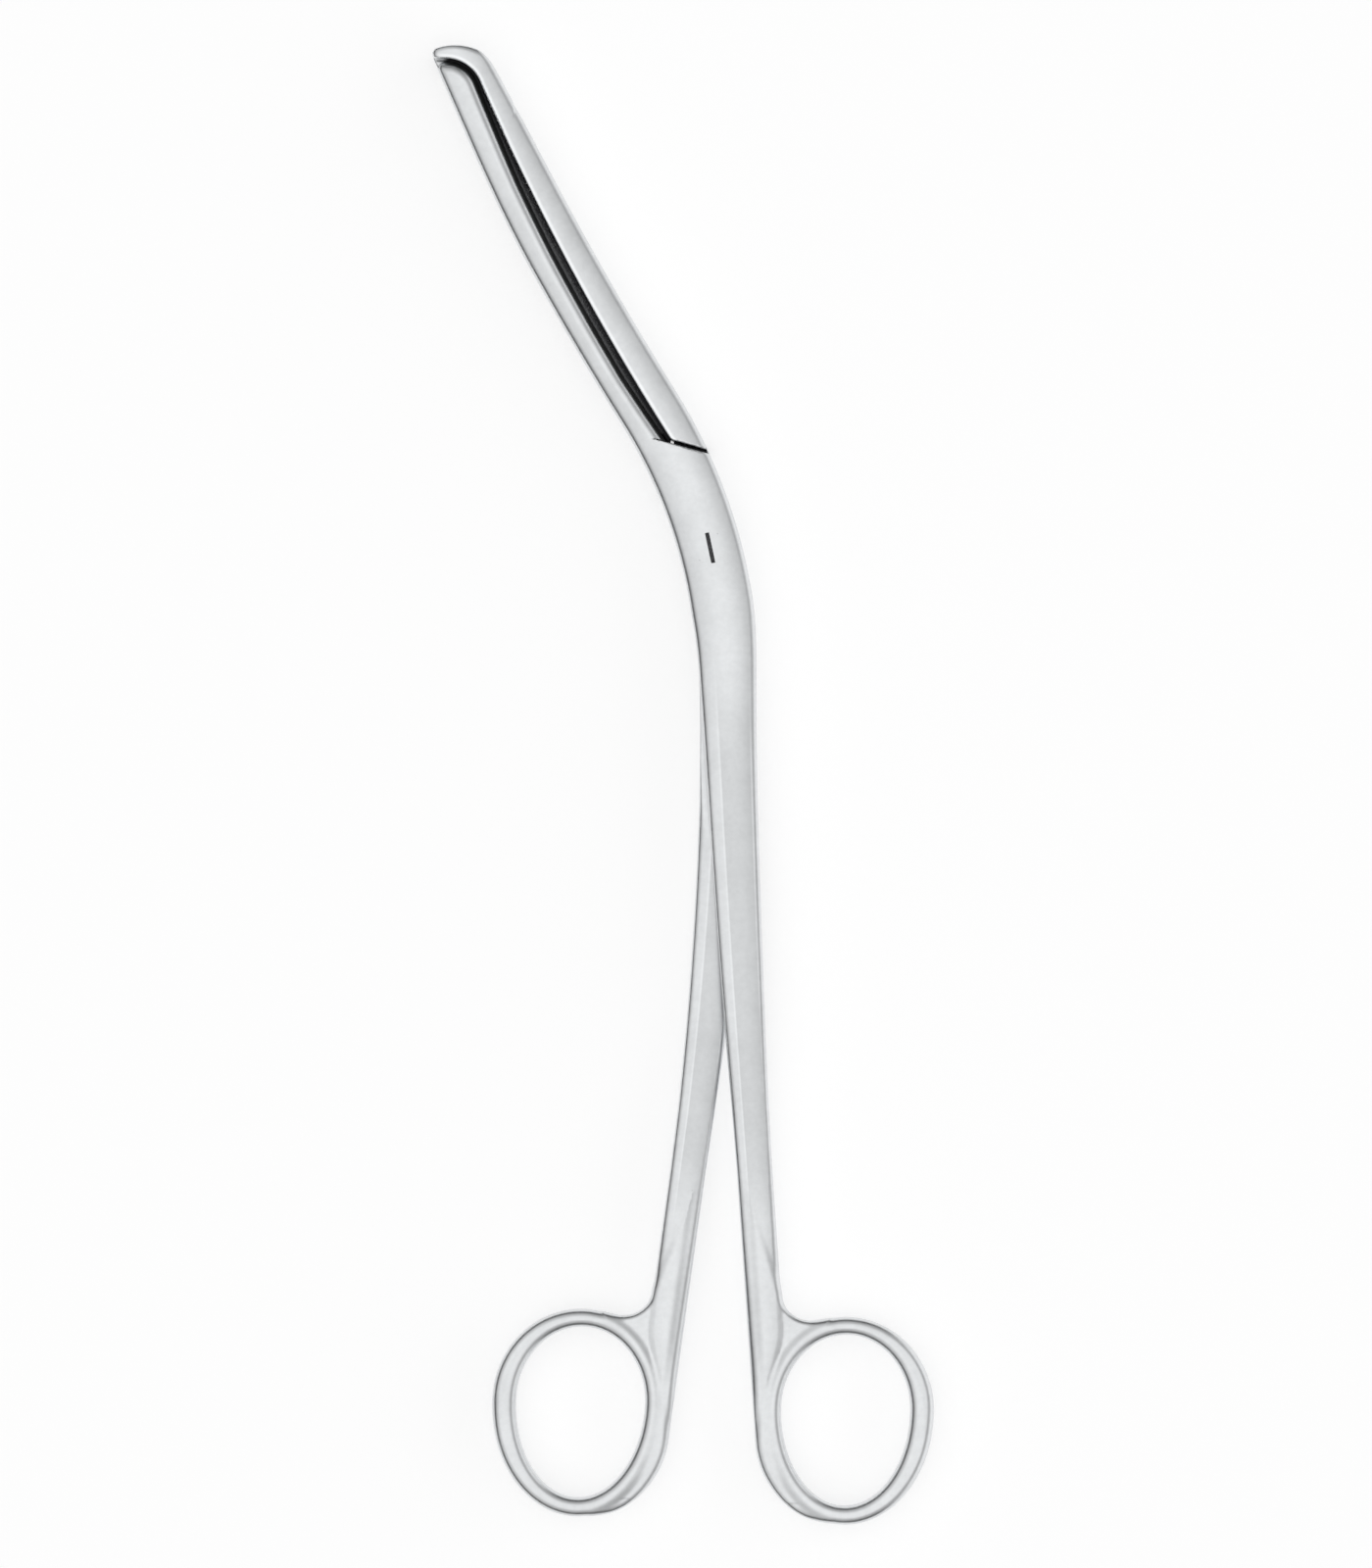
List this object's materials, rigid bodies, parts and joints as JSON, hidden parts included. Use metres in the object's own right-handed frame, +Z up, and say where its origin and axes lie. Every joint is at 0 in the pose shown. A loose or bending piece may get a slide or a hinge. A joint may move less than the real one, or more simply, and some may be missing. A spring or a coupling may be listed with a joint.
{
  "type": "sterilizer forceps",
  "caption": "Long bent transfer forceps with nested gripping jaws, a screwed lap joint, slender shanks and oval finger rings.",
  "frame": {"origin": "on the pivot screw's axis, at the flat back face of the joint on which the forceps lie", "axes": "+Y along the forceps from the finger rings towards the jaws, +X to the right as seen from the front, +Z up out of the front face along the pivot axis"},
  "size_m": [0.091, 0.2696, 0.007],
  "materials": {
    "front_steel": "satin",
    "rear_steel": "satin",
    "screw_steel": "satin"
  },
  "bodies": {
    "rear": {"rear_arm": "rear_steel", "pivot_screw": "screw_steel"},
    "front": {"front_arm": "front_steel"}
  },
  "joints": [
    {"name": "pivot_hinge", "type": "hinge", "parent": "rear", "child": "front", "pos_m": [0, 0, 0], "axis": [0, 0, 1], "range_deg": [0, 40]}
  ]
}
